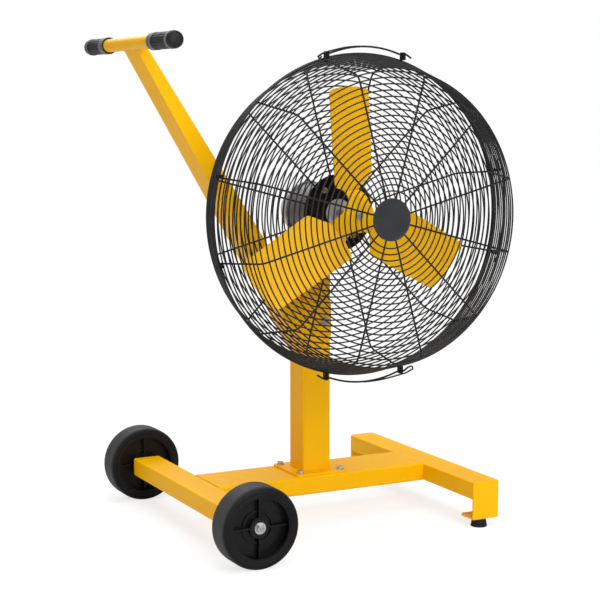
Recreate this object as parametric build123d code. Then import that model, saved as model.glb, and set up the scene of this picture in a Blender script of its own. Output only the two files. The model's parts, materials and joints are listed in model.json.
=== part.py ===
from build123d import *
import os
from math import acos, cos, radians, sin, sqrt, tan

# Drum fan on a two-wheeled cart.  Millimetres, +Z up.  X runs along the cart from the
# wheels (-X) to the feet (+X), the fan blows toward -Y.  The pieces are laid out about the
# mast axis and moved together at the end so that the origin is the bottom centre of the
# whole fan's bounding box.

# cart tubes
tube_height = 50.0          # upright size of the cart tubes
tube_wall = 3.0             # wall of every square tube
tube_corner = 6.0           # outer corner radius of the tubes
axle_x = -350.0             # axle line, from the mast axis
front_bar_x = 358.0         # centre line of the front bar, from the mast axis
bar_width = 80.0            # fore-and-aft size of the axle beam and the front bar
spine_width = 166.0         # width of the tube that joins them
beam_half = 336.0           # half length of the axle beam without its end plates
front_bar_half = 335.0      # half length of the front bar without its brackets
end_plate = 5.0             # end plates and foot brackets

# wheels
wheel_radius = 104.5
wheel_width = 75.0
wheel_side_gap = 5.5        # between the beam's end plate and the tyre
axle_above_underside = 26.5  # the axle inside the beam, from the beam's underside
tread_shoulder = 13.0       # rounding of the tyre's shoulders
tyre_thickness = 23.5       # tread to the tyre's seat on the wheel core
core_rim = 4.5              # thickness of the core's rim
core_rim_inset = 3.0        # rim edge set in from the tyre's side
web_half = 11.0              # half thickness of the wheel's web
wheel_rib_count = 4
wheel_rib = 4.0
wheel_rib_inset = 13.0      # rib edge set in from the tyre's side
step_inner = 36.5           # raised ring round the hub
step_outer = 42.6
step_height = 4.0
hub_radius = 26.0
hub_recess = 12.5           # outer end of the hub, set in from the tyre's side
hub_gap = 0.5               # end float of the wheel on the axle
axle_radius = 6.0
axle_past_nut = 2.5
bearing_radius = 20.0
bearing_length = 12.0
bearing_land = 12.0         # hub bore between its two bearings
axle_washer_radius = 15.0
axle_washer = 3.0
axle_nut_flats = 19.0
axle_nut = 9.0
running_clearance = 0.05    # radial, every turning fit

# feet
bracket_bottom = 24.0       # height of the rubber feet
bracket_flange = 65.0       # inward reach of the bracket's flange
bracket_bend = 8.0
bracket_corner = 10.0
foot_inset = 22.0           # foot centre, in from the bracket's outer face
foot_shift = -7.0           # foot centre from the bracket's centre line
foot_bottom_radius = 22.5
foot_top_radius = 18.5
foot_recess_radius = 11.0
foot_recess = 8.0
foot_bolt_radius = 5.0
foot_bolt_flats = 16.0
foot_bolt_head = 4.0
foot_nut = 8.0

# mast
mast_size = 84.0
mast_top = 693.0
mast_plate_border = 35.0    # base plate beyond each side of the mast
mast_plate_thickness = 6.0
mast_plate_corner = 8.0
base_bolt_margin = 19.0     # bolt centres from the mast's sides
m10_radius = 5.0
m10_flats = 16.0
m10_head = 6.4
m10_nut = 8.0
m10_washer_radius = 10.5
m10_washer = 2.0
m12_radius = 6.0
m12_flats = 19.0
m12_head = 7.5
m12_nut = 10.0
m12_washer_radius = 12.0
m12_washer = 2.5

# handle arm, given by two points on its lower and two on its upper edge (x, z)
arm_low_edge = ((-504.65, 1253.0), (-36.8, 453.0))
arm_top_edge = ((-471.2, 1253.0), (53.75, 453.0))
arm_sheet = 3.0
arm_fit = 0.1               # between the arm's cheeks and the mast
arm_low_end = 1275.0        # height of the lower edge's top end
arm_top_end = 1290.0        # height of the upper edge's top end
cheek_low = 501.0           # lower corner of the cheek at the mast's front edge
arm_bolt_x = 21.7
arm_bolt_z = 547.6
handle_x = -512.6
handle_z = 1285.3
handle_radius = 17.0
handle_wall = 2.5
handle_half = 290.5
grip_start = 157.5
grip_wall = 4.0
grip_end = 10.0             # rubber beyond the end of the bar
grip_nose = 8.0
band_proud = 1.0            # grip bands stand this far above the grip
band_wide = (157.5, 186.0)
band_thin = (274.0, 287.0)

# tilting head
tilt_rise = 45.0            # tilt bolt above the mast's top
bracket_plate = 6.0
ear_inner = 30.0
ear_thickness = 6.0
ear_radius = 22.0
ear_base = 34.0             # half width of an ear at its foot
side_gap = 0.3              # between ears and lugs
cradle_rise = 27.7          # underside of the motor's plate above the tilt bolt
cradle_thickness = 6.0
cradle_half_width = 52.0
cradle_back = 24.0
lug_radius = 19.0
cradle_bolt_x = 40.0
cradle_bolt_pitch = 50.0
m8_radius = 4.0
m8_flats = 13.0
m8_head = 5.3
m8_washer_radius = 8.0
m8_washer = 1.6

# motor
motor_radius = 72.0
motor_wall = 8.0
motor_length = 120.0
motor_back = 0.0            # back of the motor's body from the tilt axis
bell_flange = 5.0           # bells beyond the motor's body
bell_clearance = 0.8        # between the bells and the motor's plate
bell_seat = 40.3            # motor body to the guard plate
nose_radius = 37.0          # cap round the shaft, in the hole of the guard plate
nose_past_plate = 3.0
nose_corner = 5.0
foot_rail_width = 20.0
foot_rail_inset = 15.0
foot_rail_height = 33.8
shaft_radius = 10.0
stator_bore = 36.0
air_gap = 0.6
stator_inset = 17.0
bearing_outer = 23.5
bearing_width = 14.0
front_bearing_seat = 36.0   # motor body to the front of its bearing
rear_bearing_seat = 16.0
shaft_past_body = 34.0
rear_bell_depth = 52.0
box_seat_gap = 1.0
box_depth = 34.0
box_width = 76.0
box_height = 70.0
box_wall = 3.0
gland_radius = 11.0
gland_bore = 5.0
gland_length = 24.0

# guard: two wire dishes that meet at their rims
rim_radius = 410.0
front_depth = 163.4         # rims' mid-plane to the rings of the front dish's flat face
rear_depth = 114.8
wall_slope = 0.2635         # radius lost per millimetre of depth along a side wall
knee_bend = 25.0            # rounding between the side wall and the face
ring_pitch = 15.4
smallest_ring = 60.0
ring_wire = 3.8
rib_wire = 4.8
rim_wire = 6.0
rim_gap = 0.2               # between the two rims
weld_bite = 0.1             # how far a rib is sunk into the wires it is welded to
rib_count = 12
front_rib_start = 34.0
rear_rib_start = 88.0
badge_radius = 53.5
badge_thickness = 3.6
plate_radius = 102.0
plate_thickness = 3.0
plate_hole = 38.5
plate_bolt_radius = 74.0
plate_bolt_turn = 55.0      # first bolt, from the top
plate_bolt_count = 4
plate_lug_radius = 12.0

# guard latches
latch_standoff = 14.0       # hinge wires outside the rim
latch_forward = 24.0        # hinge wires ahead of the rims' mid-plane
latch_half_span = 110.0
latch_wire = 5.0
latch_apex = 34.0           # where the bow's two straight ends would meet, above the hinge line
latch_bow = 285.0           # bend radius of the bow
latch_tail = 134.0
latch_tail_drop = 9.0
latch_hook_depth = 15.0
latch_bend_gap = 6.0        # corner of the wire's bends beside a block
block_length = 8.0
block_half_depth = 8.5
block_top = 5.0
block_bottom = 15.0

# rotor, seen from the front: u across the blade, v along it, w toward the viewer
rotor_offset = 14.3         # middle of the blades behind the guard's mid-plane
blade_count = 3
blade_thickness = 3.0
blade_camber = 7.0
tip_gap = 81.0              # blade tips inside the rim
blade_root = (95.0, -79.0, 26.0, 64.5, -35.0)    # v, then u and w of both edges
blade_tip_edges = (-86.0, 10.0, 54.5, -39.0)     # u and w of both edges near the tip
blade_tip_inset = 15.0
blade_corner = 16.0
blade_overrun = 18.0
root_left = 74.0            # where the blade's root leaves its left edge
root_right = 107.0
neck = (-42.0, 14.0)        # the arm that carries a blade, across it
neck_end = 66.0             # from here out the arm lies on the back of the blade
neck_half = 28.0            # half width of the arm at the hub
arm_gap = 0.1
arm_thickness = 5.0
arm_reach = 150.0
hub_disc_radius = 45.0
boss_radius = 26.0
boss_ahead = 10.0           # front of the hub, ahead of the middle of the blades
boss_behind = 22.0
hub_washer_radius = 11.0
hub_washer = 2.0
hub_bolt_radius = 5.0
hub_bolt_flats = 17.0
hub_bolt_head = 6.4
hub_bolt_depth = 24.0

# sizes that follow from the ones above
core_radius = wheel_radius - tyre_thickness
tube_underside = wheel_radius - axle_above_underside
wheel_centre_y = beam_half + end_plate + wheel_side_gap + wheel_width / 2
hub_outer_y = wheel_centre_y + wheel_width / 2 - hub_recess
axle_end_y = hub_outer_y + hub_gap + axle_washer + axle_nut + axle_past_nut
foot_x = front_bar_x + foot_shift
foot_y = front_bar_half + end_plate - foot_inset
mast_plate = mast_size + 2 * mast_plate_border
base_bolt_offset = mast_size / 2 + base_bolt_margin
grip_radius = handle_radius + grip_wall
tilt_height = mast_top + tilt_rise
cradle_underside = tilt_height + cradle_rise
bell_radius = motor_radius + bell_flange
motor_bore = motor_radius - motor_wall
fan_height = cradle_underside + cradle_thickness + bell_radius + bell_clearance
motor_front = motor_back - motor_length
cradle_front = motor_front + 8
cradle_bolt_y = (motor_front + 28, motor_front + 28 + cradle_bolt_pitch)
foot_rail_front = motor_front + foot_rail_inset
foot_rail_back = motor_back - foot_rail_inset - 5
stator_front = motor_front + stator_inset - 1
stator_back = motor_back - stator_inset - 1
front_bearing_y = motor_front - front_bearing_seat
box_seat_x = bell_radius + box_seat_gap
box_y = motor_front + 62
rib_lift = (ring_wire + rib_wire) / 2 - weld_bite       # rib centres inside the ring centres
rib_seat = rib_lift - rib_wire / 2 + weld_bite          # faces welded on the ribs, inside the ring centres
plate_back_y = motor_front - bell_seat
plate_front_y = plate_back_y - plate_thickness
nose_length = plate_thickness + nose_past_plate
guard_mid_y = plate_front_y - rear_depth + rib_seat
latch_radius = rim_radius + latch_standoff
rotor_y = guard_mid_y + rotor_offset
blade_outer_radius = rim_radius - tip_gap
blade_tip = (blade_outer_radius - blade_tip_inset, *blade_tip_edges)
boss_front = rotor_y - boss_ahead
boss_back = rotor_y + boss_behind

MID = Align.CENTER
LOW = Align.MIN
HIGH = Align.MAX


def frame_at(origin, axis, across=(1, 0, 0)):
    """Working plane at a point, its normal along the given axis."""
    return Plane(origin=origin, x_dir=across, z_dir=axis)


def rod(radius, start, end):
    """Straight round bar between two points."""
    run = Vector(*end) - Vector(*start)
    return Plane(origin=start, z_dir=run) * Cylinder(radius, run.length, align=(MID, MID, LOW))


def disc(radius, thickness, bore=0.0):
    """Round plate standing on the working plane."""
    plate = Cylinder(radius, thickness, align=(MID, MID, LOW))
    if bore > 0.0:
        plate -= Cylinder(bore, 3 * thickness)
    return plate


def hexagon(flats, height):
    """Hexagon head or nut standing on the working plane."""
    body = extrude(RegularPolygon(flats / 2, 6, major_radius=False), height)
    edge = 0.08 * flats
    return body & Cone(flats * 0.75 + height, flats * 0.62 - edge, height, align=(MID, MID, LOW))


def bolt(radius, flats, head, washer_radius, washer, length):
    """Bolt with washer: head above the working plane, shank below it."""
    shank = Cylinder(radius, length, align=(MID, MID, HIGH))
    top = Pos(0, 0, washer) * hexagon(flats, head)
    return disc(washer_radius, washer) + top + shank


def nut(radius, flats, height, washer_radius, washer):
    """Nut on its washer, bored for its bolt."""
    body = disc(washer_radius, washer) + Pos(0, 0, washer) * hexagon(flats, height)
    return body - Cylinder(radius, 6 * (height + washer))


def box_tube(length, width, height):
    """Rectangular tube along Z, centred on the working plane."""
    inner_corner = tube_corner - tube_wall
    outer = RectangleRounded(width, height, tube_corner)
    inner = RectangleRounded(width - 2 * tube_wall, height - 2 * tube_wall, inner_corner)
    return extrude(outer - inner, length / 2, both=True)


def wire_path(points, radii):
    """Straight runs through the points, joined by tangent arcs of the given radii."""
    spots = [Vector(*point) for point in points]
    edges = []
    start = spots[0]
    for here, before, after, radius in zip(spots[1:-1], spots[:-2], spots[2:], radii):
        back = (before - here).normalized()
        ahead = (after - here).normalized()
        half = radians(back.get_angle(ahead)) / 2
        reach = radius / tan(half)
        bisector = (back + ahead).normalized()
        middle = here + bisector * (radius / sin(half) - radius)
        edges.append(Edge.make_line(start, here + back * reach))
        edges.append(Edge.make_three_point_arc(here + back * reach, middle, here + ahead * reach))
        start = here + ahead * reach
    edges.append(Edge.make_line(start, spots[-1]))
    return Wire(edges)


def bent_wire(radius, points, radii):
    """Round wire swept along straight runs and bends."""
    path = wire_path(points, radii)
    section = Plane(origin=points[0], z_dir=path.edges()[0] % 0) * Circle(radius)
    return sweep(section, path=path)


def on_edge(edge, z):
    """X of the arm's edge at a height."""
    (x0, z0), (x1, z1) = edge
    return x0 + (x1 - x0) * (z - z0) / (z1 - z0)


def height_on(edge, x):
    """Height of the arm's edge at an X."""
    (x0, z0), (x1, z1) = edge
    return z0 + (z1 - z0) * (x - x0) / (x1 - x0)


# ---------------------------------------------------------------- cart

tube_top = tube_underside + tube_height
tube_middle = tube_underside + tube_height / 2
plate_top = tube_top + mast_plate_thickness
axle_line = (axle_x, 0, wheel_radius)


def make_axle_beam():
    beam = box_tube(2 * beam_half, bar_width, tube_height)
    return [frame_at((axle_x, 0, tube_middle), (0, 1, 0)) * beam]


def make_axle_end_plates():
    plates = []
    for side in (-1, 1):
        origin = (axle_x, side * (beam_half + end_plate / 2), tube_middle)
        sketch = RectangleRounded(bar_width, tube_height, tube_corner)
        plate = frame_at(origin, (0, 1, 0)) * extrude(sketch, end_plate / 2, both=True)
        plates.append(plate - axle_rod_solid())
    return plates


def axle_rod_solid():
    reach = axle_end_y
    return rod(axle_radius, (axle_x, -reach, wheel_radius), (axle_x, reach, wheel_radius))


def make_axle_rod():
    return [chamfer(axle_rod_solid().edges().filter_by(GeomType.CIRCLE), 1.0)]


def make_spine_tube():
    back = axle_x + bar_width / 2
    front = front_bar_x - bar_width / 2
    tube = box_tube(front - back, spine_width, tube_height)
    tube = frame_at(((front + back) / 2, 0, tube_middle), (1, 0, 0), (0, 1, 0)) * tube
    for x, y in base_bolt_spots():
        tube -= Pos(x, y, tube_top) * Cylinder(m10_radius, 4 * tube_wall)
    return [tube]


def make_front_bar():
    bar = box_tube(2 * front_bar_half, bar_width, tube_height)
    return [frame_at((front_bar_x, 0, tube_middle), (0, 1, 0)) * bar]


def make_foot_brackets():
    """Plate closing the front bar, folded inward under it to carry a foot."""
    outer = front_bar_half + end_plate
    inner_bend = bracket_bend - end_plate
    brackets = []
    for side in (-1, 1):
        with BuildSketch(Plane.YZ) as fold:
            with BuildLine():
                Polyline(
                    (side * front_bar_half, tube_top),
                    (side * outer, tube_top),
                    (side * outer, bracket_bottom),
                    (side * (outer - bracket_flange), bracket_bottom),
                    (side * (outer - bracket_flange), bracket_bottom + end_plate),
                    (side * front_bar_half, bracket_bottom + end_plate),
                    (side * front_bar_half, tube_top),
                )
            make_face()
            knees = fold.vertices().filter_by_position(Axis.Z, bracket_bottom - 1, bracket_bottom + 6)
            outside = knees.filter_by(lambda v: abs(abs(v.Y) - outer) < 0.01)
            inside = knees.filter_by(lambda v: abs(abs(v.Y) - front_bar_half) < 0.01)
            fillet(outside, bracket_bend)
            fillet(inside, inner_bend)
        plate = extrude(fold.sketch, bar_width / 2, both=True)
        plate = Pos(front_bar_x, 0, 0) * plate
        toes = plate.edges().filter_by(Axis.Z).filter_by(
            lambda e: abs(abs(e.center().Y) - (outer - bracket_flange)) < 0.01
        )
        plate = fillet(toes, bracket_corner)
        shoulders = plate.edges().filter_by(Axis.Y).group_by(Axis.Z)[-1]
        plate = fillet(shoulders, tube_corner)
        brackets.append(plate - foot_stud(side))
    return brackets


def foot_stud(side):
    start = (foot_x, side * foot_y, foot_recess)
    end = (foot_x, side * foot_y, bracket_bottom + end_plate + foot_nut + 3)
    return rod(foot_bolt_radius, start, end)


def make_rubber_feet():
    feet = []
    for side in (-1, 1):
        foot = Cone(foot_bottom_radius, foot_top_radius, bracket_bottom, align=(MID, MID, LOW))
        foot = fillet(foot.edges().sort_by(Axis.Z)[0], 1.5)
        foot -= Cylinder(foot_recess_radius, foot_recess, align=(MID, MID, LOW))
        feet.append(Pos(foot_x, side * foot_y, 0) * foot - foot_stud(side))
    return feet


def make_foot_bolts():
    bolts = []
    for side in (-1, 1):
        place = Pos(foot_x, side * foot_y, 0)
        head = place * Pos(0, 0, foot_recess - foot_bolt_head) * hexagon(foot_bolt_flats, foot_bolt_head)
        top = place * Pos(0, 0, bracket_bottom + end_plate) * hexagon(foot_bolt_flats, foot_nut)
        bolts.append(foot_stud(side) + head + top)
    return bolts


def make_axle_washers():
    washers = []
    for side in (-1, 1):
        for y in (beam_half + end_plate, hub_outer_y + hub_gap):
            place = frame_at((axle_x, side * y, wheel_radius), (0, side, 0))
            washers.append(place * disc(axle_washer_radius, axle_washer, axle_radius))
    return washers


def make_axle_nuts():
    nuts = []
    for side in (-1, 1):
        y = side * (hub_outer_y + hub_gap + axle_washer)
        body = hexagon(axle_nut_flats, axle_nut) - Cylinder(axle_radius, 4 * axle_nut)
        nuts.append(frame_at((axle_x, y, wheel_radius), (0, side, 0)) * body)
    return nuts


def base_bolt_spots():
    return [(x, y) for x in (-base_bolt_offset, base_bolt_offset)
            for y in (-base_bolt_offset, base_bolt_offset)]


def make_mast_base_plate():
    sketch = RectangleRounded(mast_plate, mast_plate, mast_plate_corner)
    plate = Pos(0, 0, tube_top) * extrude(sketch, mast_plate_thickness)
    for x, y in base_bolt_spots():
        plate -= Pos(x, y, tube_top) * Cylinder(m10_radius, 4 * mast_plate_thickness)
    return [plate]


def make_base_bolts():
    """Bolts through the plate and the spine's top wall, each with its nut inside the tube."""
    grip = mast_plate_thickness + tube_wall
    bolts = []
    for x, y in base_bolt_spots():
        length = grip + m10_nut + 3
        screw = bolt(m10_radius, m10_flats, m10_head, m10_washer_radius, m10_washer, length)
        inner_nut = Pos(0, 0, -grip - m10_nut) * hexagon(m10_flats, m10_nut)
        bolts.append(Pos(x, y, plate_top) * (screw + inner_nut))
    return bolts


def arm_bolt_rod():
    reach = mast_size
    return rod(m12_radius, (arm_bolt_x, -reach, arm_bolt_z), (arm_bolt_x, reach, arm_bolt_z))


def make_mast():
    height = mast_top - plate_top
    tube = box_tube(height, mast_size, mast_size)
    return [Pos(0, 0, plate_top + height / 2) * tube - arm_bolt_rod()]


# ---------------------------------------------------------------- handle

def arm_outline(inset, front):
    """Side view of the arm, its two long edges moved inward by the inset."""
    slope_low = (arm_low_edge[1][0] - arm_low_edge[0][0]) / (arm_low_edge[1][1] - arm_low_edge[0][1])
    slope_top = (arm_top_edge[1][0] - arm_top_edge[0][0]) / (arm_top_edge[1][1] - arm_top_edge[0][1])
    low = [(x + inset * sqrt(1 + slope_low ** 2), z) for x, z in arm_low_edge]
    top = [(x - inset * sqrt(1 + slope_top ** 2), z) for x, z in arm_top_edge]
    back = -mast_size / 2
    return Plane.XZ * make_face(Polyline(
        (on_edge(low, arm_low_end), arm_low_end),
        (on_edge(top, arm_top_end), arm_top_end),
        (back, height_on(top, back)),
        (front, height_on(top, back)),
        (front, cheek_low),
        (back, height_on(low, back)),
        (on_edge(low, arm_low_end), arm_low_end),
    ))


def make_handle_arm():
    """Folded, tapering box whose open lower end straddles the mast with two cheeks."""
    half = mast_size / 2
    inner_half = half + arm_fit
    outer_half = inner_half + arm_sheet
    arm = extrude(arm_outline(0, half), outer_half, both=True)
    corners = arm.edges().filter_by(Axis.Y).filter_by(lambda e: e.center().X > 0)
    arm = fillet(corners, 12)
    arm -= extrude(arm_outline(arm_sheet, half + 50), inner_half, both=True)
    arm -= Box(4 * half, 2 * inner_half, 4 * mast_top, align=(LOW, MID, MID)).moved(Pos(-inner_half, 0, 0))
    arm -= rod(handle_radius, (handle_x, -mast_size, handle_z), (handle_x, mast_size, handle_z))
    return [arm - arm_bolt_rod()]


def bolt_across(x, z, half_grip, axis, across):
    """M12 bolt through a pair of cheeks, its head on the near side and its end beyond the far nut."""
    length = 2 * half_grip + m12_washer + m12_nut + 2
    seat = tuple(Vector(x, 0, z) - Vector(*axis) * half_grip)
    screw = bolt(m12_radius, m12_flats, m12_head, m12_washer_radius, m12_washer, length)
    return Plane(origin=seat, x_dir=across, z_dir=tuple(Vector(*axis) * -1)) * screw


def nut_across(x, z, half_grip, axis, across):
    seat = tuple(Vector(x, 0, z) + Vector(*axis) * half_grip)
    body = nut(m12_radius, m12_flats, m12_nut, m12_washer_radius, m12_washer)
    return Plane(origin=seat, x_dir=across, z_dir=axis) * body


arm_bolt_grip = mast_size / 2 + arm_fit + arm_sheet
tilt_bolt_grip = ear_inner + ear_thickness


def make_arm_bolt():
    return [bolt_across(arm_bolt_x, arm_bolt_z, arm_bolt_grip, (0, 1, 0), (1, 0, 0))]


def make_tilt_bolt():
    return [bolt_across(0, tilt_height, tilt_bolt_grip, (1, 0, 0), (0, 1, 0))]


def make_cross_bolt_nuts():
    arm_nut = nut_across(arm_bolt_x, arm_bolt_z, arm_bolt_grip, (0, 1, 0), (1, 0, 0))
    tilt_nut = nut_across(0, tilt_height, tilt_bolt_grip, (1, 0, 0), (0, 1, 0))
    return [arm_nut, tilt_nut]


def make_handle_bar():
    ring = Circle(handle_radius) - Circle(handle_radius - handle_wall)
    bar = extrude(ring, handle_half, both=True)
    return [frame_at((handle_x, 0, handle_z), (0, 1, 0)) * bar]


def make_grips():
    grips = []
    length = handle_half + grip_end - grip_start
    for side in (-1, 1):
        sleeve = Cylinder(grip_radius, length, align=(MID, MID, LOW))
        sleeve = fillet(sleeve.edges().filter_by(GeomType.CIRCLE).sort_by(Axis.Z)[-1], grip_nose)
        sleeve -= Cylinder(handle_radius, length - grip_end, align=(MID, MID, LOW))
        grips.append(frame_at((handle_x, side * grip_start, handle_z), (0, side, 0)) * sleeve)
    return grips


def make_grip_rings():
    rings = []
    for side in (-1, 1):
        for start, end in (band_wide, band_thin):
            band = disc(grip_radius + band_proud, end - start, grip_radius)
            rings.append(frame_at((handle_x, side * start, handle_z), (0, side, 0)) * band)
    return rings


# ---------------------------------------------------------------- wheels

def wheel_frame(side):
    """Working plane on a wheel's mid-plane, its normal pointing away from the cart."""
    origin = (axle_x, side * wheel_centre_y, wheel_radius)
    return Plane(origin=origin, x_dir=(-side, 0, 0), z_dir=(0, side, 0))


def turned(points):
    """Ring or disc turned about the working plane's normal from (radius, height) points."""
    return revolve(Plane.XZ * make_face(Polyline(*points, points[0])), Axis.Z)


def make_tyre(side):
    half = wheel_width / 2
    tyre = Cylinder(wheel_radius, wheel_width) - Cylinder(core_radius, 2 * wheel_width)
    edges = tyre.edges().filter_by(GeomType.CIRCLE)
    outer = edges.filter_by(lambda e: e.radius > core_radius + 1)
    tyre = fillet(outer, tread_shoulder)
    groove = Pos(0, 0, half) * Torus(core_radius + 5, 1.2)
    tyre -= groove
    tyre -= mirror(groove, Plane.XY)
    return [wheel_frame(side) * tyre]


def make_wheel_core(side):
    rim_half = wheel_width / 2 - core_rim_inset
    rib_half = wheel_width / 2 - wheel_rib_inset
    hub_inner = beam_half + end_plate + axle_washer + hub_gap - wheel_centre_y
    hub_outer = hub_outer_y - wheel_centre_y
    core = Cylinder(core_radius, 2 * rim_half) - Cylinder(core_radius - core_rim, 3 * rim_half)
    core += Cylinder(core_radius - core_rim / 2, 2 * web_half)
    step = Cylinder(step_outer, 2 * (web_half + step_height))
    core += step - Cylinder(step_inner, 2 * web_half + 3 * step_height)
    core += Cylinder(step_outer, 2 * web_half)
    rib_length = core_radius - core_rim / 2
    for index in range(wheel_rib_count):
        rib = Box(rib_length, wheel_rib, 2 * rib_half, align=(LOW, MID, MID))
        core += Rot(0, 0, index * 360 / wheel_rib_count) * rib
    core += Pos(0, 0, hub_inner) * Cylinder(hub_radius, hub_outer - hub_inner, align=(MID, MID, LOW))
    core -= Cylinder(bearing_land, 3 * wheel_width)
    core -= Pos(0, 0, hub_outer) * Cylinder(bearing_radius, bearing_length, align=(MID, MID, HIGH))
    core -= Pos(0, 0, hub_inner) * Cylinder(bearing_radius, bearing_length, align=(MID, MID, LOW))
    return [wheel_frame(side) * core]


def make_wheel_bearings(side):
    hub_inner = beam_half + end_plate + axle_washer + hub_gap - wheel_centre_y
    hub_outer = hub_outer_y - wheel_centre_y
    ring = disc(bearing_radius, bearing_length, axle_radius + running_clearance)
    frame = wheel_frame(side)
    return [frame * Pos(0, 0, hub_inner) * ring, frame * Pos(0, 0, hub_outer - bearing_length) * ring]


# ---------------------------------------------------------------- tilting head

def tilt_rod(radius):
    return rod(radius, (-mast_size, 0, tilt_height), (mast_size, 0, tilt_height))


def make_tilt_bracket():
    """Plate on the mast with two upright ears for the tilt bolt."""
    base_top = mast_top + bracket_plate
    sketch = RectangleRounded(mast_size, mast_size, tube_corner)
    body = Pos(0, 0, mast_top) * extrude(sketch, bracket_plate)
    outline = make_hull(
        (Pos(0, tilt_height) * Circle(ear_radius)).edges()
        + Polyline((-ear_base, base_top), (ear_base, base_top)).edges()
    )
    for side in (-1, 1):
        x = side * (ear_inner + ear_thickness / 2)
        ear = Pos(x, 0, 0) * extrude(Plane.YZ * outline, ear_thickness / 2, both=True)
        body += ear
    return [body - tilt_rod(m12_radius)]


def make_motor_cradle():
    """Plate under the motor's feet with two lugs hanging between the ears."""
    length = cradle_back - cradle_front
    middle = (cradle_back + cradle_front) / 2
    plate = Pos(0, middle, cradle_underside) * extrude(
        RectangleRounded(2 * cradle_half_width, length, 8), cradle_thickness
    )
    outline = make_hull(
        (Pos(0, tilt_height) * Circle(lug_radius)).edges()
        + Polyline((-lug_radius - 4, cradle_underside), (lug_radius + 4, cradle_underside)).edges()
    )
    x = ear_inner - side_gap - ear_thickness / 2
    for side in (-1, 1):
        plate += Pos(side * x, 0, 0) * extrude(Plane.YZ * outline, ear_thickness / 2, both=True)
    plate -= tilt_rod(m12_radius + running_clearance)
    for bx, by in cradle_bolt_spots():
        plate -= Pos(bx, by, cradle_underside) * Cylinder(m8_radius, 4 * cradle_thickness)
    return [plate]


def cradle_bolt_spots():
    return [(x, y) for x in (-cradle_bolt_x, cradle_bolt_x) for y in cradle_bolt_y]


def make_cradle_bolts():
    bolts = []
    for x, y in cradle_bolt_spots():
        screw = bolt(m8_radius, m8_flats, m8_head, m8_washer_radius, m8_washer, cradle_thickness + 12)
        bolts.append(frame_at((x, y, cradle_underside), (0, 0, -1)) * screw)
    return bolts


def axis_frame(y):
    """Working plane across the fan axis, its normal toward the front."""
    return Plane(origin=(0, y, fan_height), x_dir=(1, 0, 0), z_dir=(0, -1, 0))


def make_motor_body():
    """Round tube with two foot rails and a flat seat for the terminal box."""
    length = motor_back - motor_front
    body = axis_frame(motor_back) * Cylinder(motor_radius, length, align=(MID, MID, LOW))
    rail_length = foot_rail_back - foot_rail_front
    rail_bottom = cradle_underside + cradle_thickness
    for side in (-1, 1):
        place = Pos(side * cradle_bolt_x, (foot_rail_back + foot_rail_front) / 2, rail_bottom)
        body += place * Box(foot_rail_width, rail_length, foot_rail_height, align=(MID, MID, LOW))
    seat = Box(box_seat_x, box_width - 16, box_height - 16, align=(LOW, MID, MID))
    body += Pos(0, box_y, fan_height) * seat
    body -= axis_frame(motor_back + 1) * Cylinder(motor_bore, length + 2, align=(MID, MID, LOW))
    for x, y in cradle_bolt_spots():
        body -= rod(m8_radius, (x, y, rail_bottom - 1), (x, y, rail_bottom + 12))
    return [body]


def plate_bolt_spots():
    turns = [radians(plate_bolt_turn + index * 360 / plate_bolt_count) for index in range(plate_bolt_count)]
    return [(plate_bolt_radius * sin(turn), plate_bolt_radius * cos(turn)) for turn in turns]


def make_motor_front_bell():
    """Front bell with lugs that carry the guard plate."""
    seat = motor_front - plate_back_y
    bell = turned([
        (0, 0), (bell_radius, 0), (bell_radius, 10), (bell_radius - 14, seat - 4),
        (nose_radius, seat), (0, seat),
    ])
    for x, y in plate_bolt_spots():
        bell += Pos(x, y, 0) * Cylinder(plate_lug_radius, seat, align=(MID, MID, LOW))
    bell -= turned([
        (0, -1), (motor_bore, -1), (motor_bore, 6), (bearing_outer + 6, seat - 11), (0, seat - 11),
    ])
    bell = axis_frame(motor_front) * bell
    pocket = Cylinder(bearing_outer, bearing_width, align=(MID, MID, LOW))
    bell -= axis_frame(front_bearing_y + bearing_width) * pocket
    bell -= axis_frame(0) * Cylinder(shaft_radius + running_clearance, 500, align=(MID, MID, LOW))
    for x, y in plate_bolt_spots():
        hole = Pos(x, y, seat + 1) * Cylinder(m8_radius, 16, align=(MID, MID, HIGH))
        bell -= axis_frame(motor_front) * hole
    return [bell]


def make_motor_nose():
    """Round cap on the front bell, through the hole of the guard plate."""
    cap = Cylinder(nose_radius, nose_length, align=(MID, MID, LOW))
    cap = fillet(cap.edges().filter_by(GeomType.CIRCLE).sort_by(Axis.Z)[-1], nose_corner)
    cap -= Cylinder(shaft_radius + running_clearance, 4 * nose_length)
    return [axis_frame(plate_back_y) * cap]


def make_motor_rear_bell():
    """Rounded rear bell."""
    depth = rear_bell_depth
    with BuildSketch(Plane.XZ) as half:
        with BuildLine():
            Polyline(
                (0, 0), (bell_radius, 0), (bell_radius, 12), (bell_radius - 10, depth - 8),
                (30, depth - 8), (28, depth), (0, depth), (0, 0),
            )
        make_face()
        shoulder = half.vertices().filter_by(lambda v: v.X > 40 and v.Z > 20)
        fillet(shoulder, 10)
    bell = revolve(half.sketch, Axis.Z)
    bell -= turned([
        (0, -1), (motor_bore, -1), (motor_bore, 10), (motor_bore - 8, depth - 16),
        (bearing_outer + 6, depth - 16), (bearing_outer + 6, rear_bearing_seat),
        (0, rear_bearing_seat),
    ])
    bell -= Pos(0, 0, rear_bearing_seat) * Cylinder(bearing_outer, bearing_width + 5, align=(MID, MID, LOW))
    return [Plane(origin=(0, motor_back, fan_height), x_dir=(1, 0, 0), z_dir=(0, 1, 0)) * bell]


def make_stator():
    length = stator_back - stator_front
    core = Cylinder(motor_bore, length - 24) + Cylinder(motor_bore - 6, length)
    core -= Cylinder(stator_bore, 2 * length)
    return [axis_frame((stator_back + stator_front) / 2) * core]


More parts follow.
